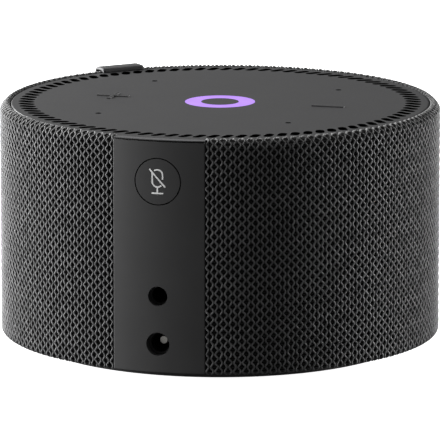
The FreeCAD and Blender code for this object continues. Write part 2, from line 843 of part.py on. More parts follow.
def glow_ring():
    """The translucent ring in the middle of the disc, and the dark cap inside it."""
    under = S.disc_top - S.disc_thick
    turned(
        "glow_ring",
        [
            (S.glow_inner, under),
            (S.glow_inner - 1.6, under),
            (S.glow_inner - 1.6, under - 0.25),
            (S.glow_outer + 1.0, under - 0.25),
            (S.glow_outer + 1.0, under - 0.05),
            (S.glow_outer - 0.05, under - 0.05),
            (S.glow_outer - 0.05, S.disc_top - 0.02),
            (S.glow_inner, S.disc_top - 0.02),
        ],
    )
    turned("glow_cap", ring_corners(0, S.glow_inner - 0.05, under + 0.05, S.disc_top))
    baffle_low = S.top_board_low + S.board_thick
    turned("light_baffle", ring_corners(S.glow_outer + 0.4, S.glow_outer + 1.2, baffle_low, under - 0.3))


# ---------------------------------------------------------------- electronics
def electronics():
    top_face = S.top_board_low + S.board_thick
    under = S.disc_top - S.disc_thick
    mic_spots = [
        (S.mic_offset * a, S.mic_offset * b) for a in (-1, 1) for b in (-1, 1)
    ]

    film = new_body("touch_film")
    plan = new_sketch(film, "XY_Plane", lift=S.film_low)
    circle(plan, 35.0)
    circle(plan, S.glow_outer + 1.4)
    for spot in mic_spots:
        circle(plan, 1.9, *spot)
    pad(film, plan, 0.2)

    seals = [tube(1.6, S.mic_radius, under - top_face - 0.85, (*spot, top_face + 0.8)) for spot in mic_spots]
    piece(group(*seals), "mic_seals")
    mics = [
        block((x - 1.5, x + 1.5), (y - 1.2, y + 1.2), (top_face, top_face + 0.78))
        for x, y in mic_spots
    ]
    piece(group(*mics), "microphones")

    light_ring = (S.glow_outer + S.glow_inner) / 2
    lights = []
    for index in range(12):
        x, y = light_ring.at(index * 30)
        lights.append(block((x - 0.75, x + 0.75), (y - 0.75, y + 0.75), (top_face, top_face + 0.6)))
    piece(group(*lights), "status_lights")

    board_with_holes("top_board", S.top_board_low)
    board_with_holes("main_board", S.main_board_low)
    gap_low = S.main_board_low + S.board_thick
    plug = block((-14.0, -4.0), (18.0, 21.0), (gap_low, S.top_board_low))
    piece(plug, "board_connector")

    spreader_top = S.spreader_low + 0.8
    shield = block((-9.0, 9.0), (-8.0, 8.0), (gap_low, gap_low + 1.7))
    room = block((-8.7, 8.7), (-7.7, 7.7), (gap_low, gap_low + 1.4))
    piece(cut(shield, room), "radio_shield")
    radio = block((-3.5, 3.5), (-3.5, 3.5), (gap_low, gap_low + 0.9))
    memory = block((4.2, 8.2), (-5.0, 3.0), (gap_low, gap_low + 0.9))
    processor = block((-6.0, 6.0), (-6.0, 6.0), (S.main_board_low - 1.0, S.main_board_low))
    amplifier = block((12.0, 18.0), (-3.0, 3.0), (S.main_board_low - 1.0, S.main_board_low))
    piece(group(radio, memory, processor, amplifier), "board_chips")
    pads = [
        block((-5.5, 5.5), (-5.5, 5.5), (spreader_top, S.main_board_low - 1.0)),
        block((12.2, 17.8), (-2.8, 2.8), (spreader_top, S.main_board_low - 1.0)),
    ]
    piece(group(*pads), "thermal_pads")
    spreader = block((-16.0, 20.0), (-12.0, 12.0), (S.spreader_low, spreader_top))
    piece(spreader, "heat_spreader")

    spots = [S.spacer_ring.at(azimuth) for azimuth in SPACER_AZIMUTHS]
    spacers = [tube(2.0, 1.1, S.top_board_low - gap_low, (*spot, gap_low)) for spot in spots]
    piece(group(*spacers), "board_spacers")
    screws = [screw((*spot, top_face), 1.9, 0.95, 6.5, "down") for spot in spots]
    piece(group(*screws), "board_screws")

    strips = []
    for way in (-1, 1):
        near, far = S.frame_inner * way - 0.9 * way, S.frame_inner * way - 1.7 * way
        low, high = (far, near) if way > 0 else (near, far)
        strips.append(block((low, high), (-4.0, 4.0), (13.0, 35.0)))
    piece(group(*strips), "radio_antennas")


def board_with_holes(label, low):
    """A round circuit board with clearance holes for the spacers' screws."""
    board = new_body(label)
    plan = new_sketch(board, "XY_Plane", lift=low)
    circle(plan, S.board_radius)
    for azimuth in SPACER_AZIMUTHS:
        circle(plan, 1.1, *S.spacer_ring.at(azimuth))
    pad(board, plan, S.board_thick)


def carrier():
    """The plate that carries the boards and spreads the driver's sound outwards."""
    top = S.carrier_low + S.carrier_thick
    plate = turned(
        "board_carrier",
        [
            (0, S.carrier_low - 1.6),
            (2.5, S.carrier_low - 1.3),
            (9.0, S.carrier_low),
            (S.carrier_radius, S.carrier_low),
            (S.carrier_radius, top),
            (0, top),
        ],
    )
    posts = new_sketch(plate, "XY_Plane", lift=top)
    for azimuth in SPACER_AZIMUTHS:
        circle(posts, 2.3, *S.spacer_ring.at(azimuth))
    pad(plate, posts, S.main_board_low - top)
    arms = new_sketch(plate, "XY_Plane", lift=S.carrier_low, turn=45)
    rectangle(arms, 30.0, S.lug_ring + 1.1, -2.4, 2.4)
    arm = pad(plate, arms, S.carrier_thick)
    round_pattern(plate, arm, 4)
    holes = new_sketch(plate, "XY_Plane", lift=S.main_board_low)
    for azimuth in SPACER_AZIMUTHS:
        circle(holes, 0.98, *S.spacer_ring.at(azimuth))
    pocket(plate, holes, 3.2)
    through = new_sketch(plate, "XY_Plane", lift=top)
    for azimuth in CORNERS:
        circle(through, 1.0, *S.lug_ring.at(azimuth))
        circle(through, 0.95, *S.disc_boss_ring.at(azimuth))
    rectangle(through, -31.5, -28.0, -2.5, 2.5)
    pocket(plate, through, S.carrier_thick)

    spots = [(*S.lug_ring.at(azimuth), top) for azimuth in CORNERS]
    piece(group(*[screw(spot, 1.5, 0.8, 5.4, "down") for spot in spots]), "carrier_screws")
    wires = [
        cylinder(0.6, S.main_board_low - S.chamber_high, (-29.8, way * 1.1, S.chamber_high))
        for way in (-1, 1)
    ]
    piece(group(*wires), "speaker_wires")


# ---------------------------------------------------------------- speaker chamber
def chamber():
    wall = S.chamber_wall
    inner, inner_flat = S.chamber_radius - wall, S.chamber_flat - wall
    half_seal = S.chamber_seal / 2

    lower = new_body("chamber_bottom")
    plan = new_sketch(lower, "XY_Plane", lift=S.chamber_low)
    d_shape(plan, S.chamber_radius, S.chamber_flat)
    pad(lower, plan, S.chamber_joint - half_seal - S.chamber_low)
    lugs = new_sketch(lower, "XY_Plane", lift=S.chamber_low)
    lug_root, lug_end, lug_half = inner - 0.2, S.chamber_foot_ring + 2.6, 2.6
    rectangle(lugs, lug_root, lug_end, -lug_half, lug_half)
    rectangle(lugs, -lug_end, -lug_root, -lug_half, lug_half)
    rectangle(lugs, -lug_half, lug_half, lug_root, lug_end)
    pad(lower, lugs, 2.0)
    room = new_sketch(lower, "XY_Plane", lift=S.chamber_joint)
    d_shape(room, inner, inner_flat)
    pocket(lower, room, S.chamber_joint - S.chamber_low - wall)
    mouth = new_sketch(lower, "XY_Plane", lift=S.chamber_joint)
    circle(mouth, S.radiator_hole)
    pocket(lower, mouth, 20.0)
    feet = new_sketch(lower, "XY_Plane", lift=S.chamber_low + 2.0)
    for azimuth in FOOT_AZIMUTHS:
        circle(feet, 1.1, *S.chamber_foot_ring.at(azimuth))
    pocket(lower, feet, 2.0)

    seal = new_body("chamber_seal")
    plan = new_sketch(seal, "XY_Plane", lift=S.chamber_joint - half_seal)
    d_shape(plan, S.chamber_radius - 0.2, S.chamber_flat - 0.2)
    pad(seal, plan, S.chamber_seal)
    room = new_sketch(seal, "XY_Plane", lift=S.chamber_joint + half_seal)
    d_shape(room, inner + 0.2, inner_flat + 0.2)
    pocket(seal, room, S.chamber_seal)

    upper = new_body("chamber_top")
    plan = new_sketch(upper, "XY_Plane", lift=S.chamber_joint + half_seal)
    d_shape(plan, S.chamber_radius, S.chamber_flat)
    pad(upper, plan, S.chamber_high - S.chamber_joint - half_seal)
    room = new_sketch(upper, "XY_Plane", lift=S.chamber_joint)
    d_shape(room, inner, inner_flat)
    pocket(upper, room, S.chamber_high - S.chamber_joint - 2.4, reverse=True)
    mouth = new_sketch(upper, "XY_Plane", lift=S.chamber_high)
    circle(mouth, S.driver_hole)
    for azimuth in CORNERS:
        circle(mouth, 0.75, *(S.flange_radius - 1.6).at(azimuth))
    pocket(upper, mouth, 6.0)

    seat = S.chamber_low + 2.0
    spots = [(*S.chamber_foot_ring.at(azimuth), seat) for azimuth in FOOT_AZIMUTHS]
    piece(group(*[screw(spot, 1.9, 0.75, 6.0, "down") for spot in spots]), "chamber_screws")


def driver():
    flange_low, flange_high = S.chamber_high, S.chamber_high + 1.2
    ledge = S.washer_high + 2.4
    screw_ring = S.flange_radius - 1.6
    basket_outer, basket_inner, spider_seat = 23.2, 22.4, 16.4
    basket = turned(
        "driver_basket",
        [
            (S.coil_outer + 0.4, S.washer_high),
            (17.8, S.washer_high),
            (19.2, ledge - 0.6),
            (basket_outer, flange_low - 2.0),
            (basket_outer, flange_low),
            (S.flange_radius, flange_low),
            (S.flange_radius, flange_high),
            (basket_inner, flange_high),
            (basket_inner, flange_low - 1.6),
            (18.6, ledge),
            (spider_seat, ledge),
            (spider_seat, S.washer_high + 1.0),
            (S.coil_outer + 0.4, S.washer_high + 1.0),
        ],
    )
    windows = new_sketch(basket, "YZ_Plane", lift=15.0)
    rectangle(windows, -4.6, 4.6, ledge + 0.9, flange_low - 1.4)
    window = pocket(basket, windows, 11.0, reverse=True)
    round_pattern(basket, window, 6)
    ears = new_sketch(basket, "XY_Plane", lift=flange_high)
    for azimuth in CORNERS:
        circle(ears, 0.95, *screw_ring.at(azimuth))
    pocket(basket, ears, 2.0)

    turned("driver_washer", ring_corners(S.coil_outer + 0.3, 18.0, S.washer_low, S.washer_high))
    turned("driver_magnet", ring_corners(12.0, S.magnet_radius, S.magnet_low, S.washer_low))
    turned(
        "driver_yoke",
        [
            (0, S.yoke_low),
            (18.4, S.yoke_low),
            (18.4, S.magnet_low),
            (S.pole_radius, S.magnet_low),
            (S.pole_radius, S.washer_high + 0.4),
            (0, S.washer_high + 0.4),
        ],
    )
    coil_low, winding_top, former_top = 20.6, 29.4, 31.6
    turned(
        "voice_coil",
        [
            (S.coil_inner, coil_low),
            (S.coil_outer, coil_low),
            (S.coil_outer, winding_top),
            (S.coil_outer - 0.2, winding_top),
            (S.coil_outer - 0.2, former_top),
            (S.coil_inner, former_top),
        ],
    )
    neck, mouth = 30.4, flange_high
    turned(
        "driver_cone",
        [
            (S.coil_outer - 0.15, neck),
            (S.coil_outer + 0.4, neck),
            (15.0, 34.0),
            (S.cone_radius, mouth - 0.4),
            (S.cone_radius, mouth + 0.1),
            (14.8, 34.6),
            (S.coil_outer, neck + 0.7),
        ],
    )
    turned(
        "dust_cap",
        [
            (0, 33.4),
            (4.5, 32.9),
            (8.0, 31.9),
            (S.coil_inner + 0.2, 31.65),
            (S.coil_inner + 1.1, 31.65),
            (S.coil_inner + 1.1, 32.0),
            (8.3, 32.4),
            (4.6, 33.4),
            (0, 33.9),
        ],
    )
    surround_ring("driver_surround", S.cone_radius + 0.05, 22.35, mouth, 2.1)
    turned(
        "driver_spider",
        [
            (S.coil_outer + 0.1, ledge + 0.05),
            (12.4, ledge + 0.65),
            (14.4, ledge + 0.05),
            (18.3, ledge + 0.05),
            (18.3, ledge + 0.35),
            (14.5, ledge + 0.35),
            (12.4, ledge + 0.95),
            (S.coil_outer + 0.1, ledge + 0.35),
        ],
    )
    turned("driver_gasket", ring_corners(22.5, 24.0, flange_high, flange_high + 0.5))
    spots = [(*screw_ring.at(azimuth), flange_high) for azimuth in CORNERS]
    piece(group(*[screw(spot, 1.4, 0.7, 4.6, "down") for spot in spots]), "driver_screws")


def surround_ring(label, inner, outer, level, height):
    """A half-roll ring from its inner to its outer edge, arched up, or down below zero."""
    skin = 0.4
    middle = (inner + outer) / 2
    far = middle * 2 - inner
    turned(
        label,
        [
            (inner, level),
            (inner + 0.7, level + height * 0.75),
            (middle, level + height),
            (far - 0.7, level + height * 0.75),
            (far, level),
            (far, level + skin),
            (far - 0.45, level + height * 0.75 + skin),
            (middle, level + height + skin),
            (inner + 0.45, level + height * 0.75 + skin),
            (inner, level + skin),
        ],
    )


def passive_radiator():
    low = S.radiator_low
    turned(
        "radiator_plate",
        [
            (0, low),
            (S.radiator_radius - 2.0, low),
            (S.radiator_radius, low + 0.6),
            (S.radiator_radius, low + 1.2),
            (0, low + 1.2),
        ],
    )
    turned("radiator_weight", ring_corners(0, 6.0, low + 1.2, low + 2.4))
    surround_ring("radiator_surround", S.radiator_radius + 0.05, 21.6, low + 0.6, 1.8)
    floor = S.chamber_low + S.chamber_wall
    turned(
        "radiator_frame",
        [
            (21.65, low - 0.1),
            (S.radiator_hole - 0.1, low - 0.1),
            (S.radiator_hole - 0.1, floor),
            (26.5, floor),
            (26.5, floor + 0.8),
            (21.65, floor + 0.8),
        ],
    )


foot_and_base()
outer_frame()
fabric_sleeve()
carry_ribbon()
rear_panel()
mute_button()
rear_sockets()
touch_disc()
glow_ring()
electronics()
carrier()
chamber()
driver()
passive_radiator()
doc.recompute()

# ---------------------------------------------------------------- checks and export
for thing in doc.Objects:
    if {"Invalid", "Error"} & set(thing.State):
        raise ValueError(f"{thing.Label} ({thing.Name}) did not build: {thing.State}")
for thing in pieces:
    if thing.Shape.isNull() or not thing.Shape.isValid() or not thing.Shape.Solids:
        raise ValueError(f"{thing.Label} has no valid solid")

os.makedirs("parts", exist_ok=True)
for thing in pieces:
    thing.Shape.exportStep(f"parts/{thing.Label}.step")
    print(f"{thing.Label}: {len(thing.Shape.Solids)} solid(s), {thing.Shape.Volume:.0f} mm3")
print(f"{len(pieces)} nodes")
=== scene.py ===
"""Looks for the smart home hub: knit sleeve, woven loop, icon, materials, light and camera."""

import math
import random

import bpy
import numpy as np
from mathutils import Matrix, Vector


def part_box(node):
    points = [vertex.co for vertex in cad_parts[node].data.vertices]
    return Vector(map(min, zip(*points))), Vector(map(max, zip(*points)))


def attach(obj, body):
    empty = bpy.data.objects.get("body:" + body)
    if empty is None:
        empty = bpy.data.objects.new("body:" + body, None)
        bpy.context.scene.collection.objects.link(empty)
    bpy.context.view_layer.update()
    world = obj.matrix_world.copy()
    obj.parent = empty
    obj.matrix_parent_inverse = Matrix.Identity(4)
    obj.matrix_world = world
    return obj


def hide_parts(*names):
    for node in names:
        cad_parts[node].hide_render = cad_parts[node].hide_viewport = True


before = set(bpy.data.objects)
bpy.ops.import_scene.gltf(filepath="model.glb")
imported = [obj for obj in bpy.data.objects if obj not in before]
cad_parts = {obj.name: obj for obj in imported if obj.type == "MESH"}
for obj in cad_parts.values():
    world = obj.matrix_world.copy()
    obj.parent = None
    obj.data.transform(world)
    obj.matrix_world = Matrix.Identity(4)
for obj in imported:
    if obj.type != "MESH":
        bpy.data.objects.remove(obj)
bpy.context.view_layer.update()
MM = 0.001
TURN = 2 * math.pi
DISC_TOP = 53.0 * MM  # the disc's flat face, which its raised marks stand above
SLEEVE_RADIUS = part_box("fabric_sleeve")[1].x
slot_of = {name: node.data.materials[0].name for name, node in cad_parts.items()}
for imported in list(bpy.data.materials):
    bpy.data.materials.remove(imported)


# ---------------------------------------------------------------- materials


def new_material(name):
    material = bpy.data.materials.new(name)
    material.use_nodes = True
    return material, material.node_tree.nodes, material.node_tree.links


def noise(nodes, links, size, detail, stretch=(1, 1, 1)):
    """A noise texture whose features are about size metres across."""
    place = nodes.new("ShaderNodeTexCoord")
    mapping = nodes.new("ShaderNodeMapping")
    mapping.inputs["Scale"].default_value = stretch
    texture = nodes.new("ShaderNodeTexNoise")
    texture.inputs["Scale"].default_value = 1 / size
    texture.inputs["Detail"].default_value = detail
    links.new(place.outputs["Object"], mapping.inputs["Vector"])
    links.new(mapping.outputs["Vector"], texture.inputs["Vector"])
    return texture.outputs["Fac"]


def ramp(nodes, links, factor, stops):
    """Colours along a factor: stops is a list of (position, (r, g, b))."""
    node = nodes.new("ShaderNodeValToRGB")
    while len(node.color_ramp.elements) < len(stops):
        node.color_ramp.elements.new(0.5)
    for element, (position, colour) in zip(node.color_ramp.elements, stops):
        element.position = position
        element.color = (*colour, 1)
    links.new(factor, node.inputs["Fac"])
    return node.outputs["Color"]


def remap(nodes, links, value, start, end, low, high):
    """The value's range from start to end carried to low..high, and held at the ends."""
    node = nodes.new("ShaderNodeMapRange")
    node.inputs["From Min"].default_value = start
    node.inputs["From Max"].default_value = end
    node.inputs["To Min"].default_value = low
    node.inputs["To Max"].default_value = high
    links.new(value, node.inputs["Value"])
    return node.outputs["Result"]


def bump(nodes, links, height, depth):
    """A bump of depth metres."""
    node = nodes.new("ShaderNodeBump")
    node.inputs["Distance"].default_value = depth
    links.new(height, node.inputs["Height"])
    return node.outputs["Normal"]


def maths(nodes, links, operation, first, second):
    """One maths step on a socket. second is a socket or a fixed number."""
    node = nodes.new("ShaderNodeMath")
    node.operation = operation
    links.new(first, node.inputs[0])
    if isinstance(second, float):
        node.inputs[1].default_value = second
    else:
        links.new(second, node.inputs[1])
    return node.outputs["Value"]


def surface(name, colour, rough, grain=0.3, depth=0.006, mottle=0.12, stretch=(1, 1, 1), **fixed):
    """A grained, slightly mottled surface. grain (the width of its noise) and depth (of its bump) are
    in millimetres, mottle is a share of the colour, and fixed holds other shader sockets."""
    material, nodes, links = new_material(name)
    shader = nodes["Principled BSDF"]
    for socket, value in fixed.items():
        shader.inputs[socket.replace("_", " ")].default_value = value
    fine = noise(nodes, links, grain * MM, 2.0, stretch)
    broad = noise(nodes, links, 7 * MM, 4.0)
    dark = tuple(c * (1 - mottle) for c in colour)
    light = tuple(min(1, c * (1 + mottle)) for c in colour)
    links.new(ramp(nodes, links, broad, [(0.35, dark), (0.65, light)]), shader.inputs["Base Color"])
    uneven = remap(nodes, links, fine, 0.3, 0.7, rough * 0.9, min(1, rough * 1.1))
    links.new(uneven, shader.inputs["Roughness"])
    links.new(bump(nodes, links, fine, depth * MM), shader.inputs["Normal"])
    return material


def metal(name, colour, rough, stretch=(1, 1, 1)):
    return surface(name, colour, rough, grain=0.2, depth=0.002, mottle=0.06, stretch=stretch, Metallic=1.0)


def reach_and_height(nodes, links):
    """The distance from the hub's vertical axis, and the height, both in metres."""
    place = nodes.new("ShaderNodeTexCoord")
    axes = nodes.new("ShaderNodeSeparateXYZ")
    flat = nodes.new("ShaderNodeCombineXYZ")
    reach = nodes.new("ShaderNodeVectorMath")
    reach.operation = "LENGTH"
    links.new(place.outputs["Object"], axes.inputs["Vector"])
    links.new(axes.outputs["X"], flat.inputs["X"])
    links.new(axes.outputs["Y"], flat.inputs["Y"])
    links.new(flat.outputs["Vector"], reach.inputs[0])
    return reach.outputs["Value"], axes.outputs["Z"]


def blend(nodes, links, factor, colour, dark):
    """The colour socket mixed towards a fixed dark colour by the factor."""
    mix = nodes.new("ShaderNodeMix")
    mix.data_type = "RGBA"
    mix.inputs["B"].default_value = (*dark, 1)
    links.new(factor, mix.inputs["Factor"])
    links.new(colour, mix.inputs["A"])
    return mix.outputs["Result"]


def yarn_material(name):
    """Twisted dark polyester yarn with a soft sheen, with painted shade in the knit's depth and painted shade
    over the rim.
    """
    material, nodes, links = new_material(name)
    shader = nodes["Principled BSDF"]
    shader.inputs["Roughness"].default_value = 0.62
    shader.inputs["Sheen Weight"].default_value = 0.25
    shader.inputs["Sheen Roughness"].default_value = 0.45
    place = nodes.new("ShaderNodeTexCoord")
    twist = nodes.new("ShaderNodeTexWave")
    twist.bands_direction = "DIAGONAL"
    twist.inputs["Scale"].default_value = 2400
    twist.inputs["Distortion"].default_value = 3.0
    twist.inputs["Detail"].default_value = 2.0
    links.new(place.outputs["Object"], twist.inputs["Vector"])
    patches = noise(nodes, links, 2.5 * MM, 3.0)
    tone = ramp(nodes, links, patches, [(0.3, (0.064, 0.064, 0.066)), (0.7, (0.098, 0.098, 0.100))])
    reach, height = reach_and_height(nodes, links)
    # painted shade: the yarn's colour darkens from its crown down into the knit's depth, standing in for the
    # shade between the yarns
    crown, valley = SLEEVE_RADIUS - 0.05 * MM, SLEEVE_RADIUS - 0.27 * MM
    painted_depth_shade = remap(nodes, links, reach, crown, valley, 0.0, 0.90)
    tone = blend(nodes, links, painted_depth_shade, tone, (0.004, 0.004, 0.004))
    # painted shade: the yarns over the rim are darkened in colour to tone down the overhead light on them
    painted_rim_shade = remap(nodes, links, height, DISC_TOP - 1.9 * MM, DISC_TOP - 0.7 * MM, 0.0, 0.75)
    tone = blend(nodes, links, painted_rim_shade, tone, (0.010, 0.010, 0.010))
    links.new(tone, shader.inputs["Base Color"])
    links.new(bump(nodes, links, twist.outputs["Fac"], 0.03 * MM), shader.inputs["Normal"])
    return material


def backing_material(name):
    """The dark inner layer of the knit, with the faint threads that show through its holes."""
    material, nodes, links = new_material(name)
    shader = nodes["Principled BSDF"]
    shader.inputs["Roughness"].default_value = 0.9
    shader.inputs["Specular IOR Level"].default_value = 0.15
    place = nodes.new("ShaderNodeTexCoord")
    threads = nodes.new("ShaderNodeTexWave")
    threads.bands_direction = "Z"
    threads.inputs["Scale"].default_value = 560
    threads.inputs["Distortion"].default_value = 6.0
    threads.inputs["Detail Scale"].default_value = 1.5
    links.new(place.outputs["Object"], threads.inputs["Vector"])
    stops = [(0.3, (0.003, 0.003, 0.003)), (0.9, (0.030, 0.030, 0.030))]
    tone = ramp(nodes, links, threads.outputs["Fac"], stops)
    links.new(tone, shader.inputs["Base Color"])
    links.new(bump(nodes, links, threads.outputs["Fac"], 0.06 * MM), shader.inputs["Normal"])
    return material


def ribbon_material(name):
    """Dark woven tape with a fine, uneven weave."""
    material, nodes, links = new_material(name)
    shader = nodes["Principled BSDF"]
    shader.inputs["Roughness"].default_value = 0.7
    shader.inputs["Specular IOR Level"].default_value = 0.2
    shader.inputs["Sheen Weight"].default_value = 0.05
    weave = noise(nodes, links, 0.12 * MM, 2.0, (1, 1, 2.5))
    tone = ramp(nodes, links, weave, [(0.3, (0.006, 0.006, 0.0065)), (0.7, (0.018, 0.018, 0.019))])
    links.new(tone, shader.inputs["Base Color"])
    links.new(bump(nodes, links, weave, 0.03 * MM), shader.inputs["Normal"])
    return material


def disc_material(name):
    """Fine matt plastic with painted shade inside its slots and microphone holes: below the face they turn
    nearly black and lose their specular reflection.
    """
    material = surface(name, (0.019, 0.019, 0.0195), 0.45, 0.14, 0.0015, 0.03)
    nodes, links = material.node_tree.nodes, material.node_tree.links
    shader = nodes["Principled BSDF"]
    reach, height = reach_and_height(nodes, links)
    holes_from, holes_to = 29.2 * MM, 45.4 * MM
    # painted shade: below the disc's face, between these radii, the colour goes nearly black and the specular
    # drops to zero
    below = maths(nodes, links, "LESS_THAN", height, DISC_TOP - 0.03 * MM)
    beyond = maths(nodes, links, "GREATER_THAN", reach, holes_from)
    within = maths(nodes, links, "LESS_THAN", reach, holes_to)
    painted_hole_shade = maths(nodes, links, "MULTIPLY", maths(nodes, links, "MULTIPLY", below, beyond), within)
    plain = shader.inputs["Base Color"].links[0].from_socket
    links.new(blend(nodes, links, painted_hole_shade, plain, (0.0008,) * 3), shader.inputs["Base Color"])
    shine = remap(nodes, links, painted_hole_shade, 0.0, 1.0, 0.25, 0.0)
    links.new(shine, shader.inputs["Specular IOR Level"])
    return material


def glow_material(name):
    """Frosted light guide, lit violet from below, a little brighter in patches."""
    material, nodes, links = new_material(name)
    shader = nodes["Principled BSDF"]
    shader.inputs["Base Color"].default_value = (0.03, 0.02, 0.05, 1)
    shader.inputs["Roughness"].default_value = 0.4
    shader.inputs["Emission Strength"].default_value = 1.0
    patches = noise(nodes, links, 4 * MM, 2.0)
    tone = ramp(nodes, links, patches, [(0.3, (0.44, 0.22, 0.90)), (0.7, (0.50, 0.27, 0.96))])
    links.new(tone, shader.inputs["Emission Color"])
    return material


def board_material(name):
    """Dark green solder mask over faint copper runs."""
    material, nodes, links = new_material(name)
    shader = nodes["Principled BSDF"]
    shader.inputs["Roughness"].default_value = 0.35
    place = nodes.new("ShaderNodeTexCoord")
    runs = nodes.new("ShaderNodeTexBrick")
    runs.inputs["Scale"].default_value = 260
    runs.inputs["Mortar Size"].default_value = 0.03
    runs.inputs["Color1"].default_value = (0.004, 0.030, 0.014, 1)
    runs.inputs["Color2"].default_value = (0.005, 0.036, 0.018, 1)
    runs.inputs["Mortar"].default_value = (0.020, 0.075, 0.030, 1)
    links.new(place.outputs["Object"], runs.inputs["Vector"])
    links.new(runs.outputs["Color"], shader.inputs["Base Color"])
    links.new(bump(nodes, links, runs.outputs["Fac"], 0.02 * MM), shader.inputs["Normal"])
    return material


def weave_material(name, dark, light, pitch):
    """A plain woven cloth or mesh, pitch metres between threads."""
    material, nodes, links = new_material(name)
    shader = nodes["Principled BSDF"]
    shader.inputs["Roughness"].default_value = 0.8
    place = nodes.new("ShaderNodeTexCoord")
    grid = nodes.new("ShaderNodeTexChecker")
    grid.inputs["Scale"].default_value = 1 / pitch
    grid.inputs["Color1"].default_value = (*dark, 1)
    grid.inputs["Color2"].default_value = (*light, 1)
    links.new(place.outputs["Object"], grid.inputs["Vector"])
    links.new(grid.outputs["Color"], shader.inputs["Base Color"])
    links.new(bump(nodes, links, grid.outputs["Fac"], 0.03 * MM), shader.inputs["Normal"])
    return material


# A surface's numbers are its colour, roughness, grain, bump depth and mottle.
MATERIALS = {
    "foot_rubber": surface("foot_rubber", (0.022, 0.022, 0.023), 0.75, 0.35, 0.015),
    "base_plastic": surface("base_plastic", (0.020, 0.020, 0.021), 0.55, 0.25, 0.010),
    "frame_plastic": surface("frame_plastic", (0.030, 0.030, 0.031), 0.50, 0.22, 0.006),
    "knit_fabric": yarn_material("knit_fabric"),
    "knit_backing": backing_material("knit_backing"),
    "woven_ribbon": ribbon_material("woven_ribbon"),
    # painted highlight: a paler colour for the tape's side edges, standing in for the light that catches them
    "ribbon_edge_highlight": surface("ribbon_edge_highlight", (0.12, 0.12, 0.122), 0.9, 0.10, 0.020, 0.25),
    "panel_plastic": surface("panel_plastic", (0.029, 0.029, 0.0295), 0.46, 0.16, 0.003, 0.05),
    "button_plastic": surface("button_plastic", (0.029, 0.029, 0.0295), 0.46, 0.16, 0.003, 0.05),
    "switch_plastic": surface("switch_plastic", (0.10, 0.10, 0.10), 0.5, 0.2, 0.004),
    "socket_plastic": surface("socket_plastic", (0.003, 0.003, 0.003), 0.45, 0.3, 0.004),
    "circuit_board": board_material("circuit_board"),
    "contact_metal": metal("contact_metal", (0.78, 0.76, 0.72), 0.28),
    "cable_film": surface("cable_film", (0.55, 0.30, 0.07), 0.4, 0.4, 0.006, 0.2),
    "disc_plastic": disc_material("disc_plastic"),
    "dust_mesh": weave_material("dust_mesh", (0.002, 0.002, 0.002), (0.008, 0.008, 0.008), 0.25 * MM),
    "glow_plastic": glow_material("glow_plastic"),
    "seal_rubber": surface("seal_rubber", (0.014, 0.014, 0.014), 0.8, 0.3, 0.012),
    "shield_steel": metal("shield_steel", (0.62, 0.63, 0.64), 0.32, (1, 6, 1)),
    "led_white": surface("led_white", (0.80, 0.80, 0.74), 0.35, 0.3, 0.004, 0.04),
    "chip_epoxy": surface("chip_epoxy", (0.012, 0.012, 0.013), 0.5, 0.12, 0.006),
    "thermal_rubber": surface("thermal_rubber", (0.30, 0.38, 0.45), 0.85, 0.3, 0.012),
    "aluminium_sheet": metal("aluminium_sheet", (0.80, 0.81, 0.82), 0.35, (8, 1, 1)),
    "brass_spacer": metal("brass_spacer", (0.76, 0.56, 0.24), 0.3),
    "wire_rubber": surface("wire_rubber", (0.30, 0.02, 0.02), 0.6, 0.4, 0.008, 0.2),
    "chamber_plastic": surface("chamber_plastic", (0.028, 0.028, 0.030), 0.55, 0.3, 0.008),
    "basket_steel": metal("basket_steel", (0.30, 0.30, 0.31), 0.42),
    "ferrite": surface("ferrite", (0.035, 0.034, 0.033), 0.7, 0.5, 0.02, 0.3),
    "copper_wire": metal("copper_wire", (0.80, 0.38, 0.20), 0.3, (1, 1, 12)),
    "cone_pulp": surface("cone_pulp", (0.035, 0.034, 0.032), 0.85, 0.8, 0.05, 0.35),
    "surround_rubber": surface("surround_rubber", (0.012, 0.012, 0.012), 0.55, 0.6, 0.008),
    "spider_cloth": weave_material("spider_cloth", (0.35, 0.20, 0.07), (0.55, 0.36, 0.15), 0.5 * MM),
    "screw_steel": metal("screw_steel", (0.42, 0.42, 0.44), 0.3),
    "icon_ink": surface("icon_ink", (0.66, 0.66, 0.66), 0.6, 0.12, 0.003, 0.04),
}

for name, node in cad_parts.items():
    node.data.materials.clear()
    node.data.materials.append(MATERIALS[slot_of[name]])


# ---------------------------------------------------------------- mesh helpers


def add_piece(name, points, faces, material, body="root"):
    """A smooth-shaded mesh that rides on a CAD body. points are in metres."""
    mesh = bpy.data.meshes.new(name)
    mesh.from_pydata(points, [], faces)
    mesh.polygons.foreach_set("use_smooth", [True] * len(faces))
    mesh.materials.append(MATERIALS[material])
    mesh.update()
    piece = bpy.data.objects.new(name, mesh)
    bpy.context.scene.collection.objects.link(piece)
    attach(piece, body)
    return piece


def grid_faces(rows, columns, wrap):
    """Quads over a rows by columns grid of points. wrap joins the last column to the first."""
    last = columns if wrap else columns - 1
    row, column = np.meshgrid(np.arange(rows - 1), np.arange(last), indexing="ij")
    after = (column + 1) % columns
    here, above = row * columns, (row + 1) * columns
    corners = (here + column, here + after, above + after, above + column)
    return np.stack(corners, axis=-1).reshape(-1, 4)


def arc(centre, radius, start, end, steps):
    """Points on an arc in a plane. Angles are in degrees from the plane's first axis."""
    angles = np.radians(np.linspace(start, end, steps))
    return [(centre[0] + radius * math.cos(a), centre[1] + radius * math.sin(a)) for a in angles]


def even(path, step):
    """The path resampled at an even spacing near step, with its total length."""
    path = np.array(path, float)
    along = np.concatenate([[0], np.cumsum(np.linalg.norm(np.diff(path, axis=0), axis=1))])
    places = np.linspace(0, along[-1], max(2, round(along[-1] / step) + 1))
    return np.stack([np.interp(places, along, path[:, k]) for k in range(path.shape[1])], axis=1), along[-1]


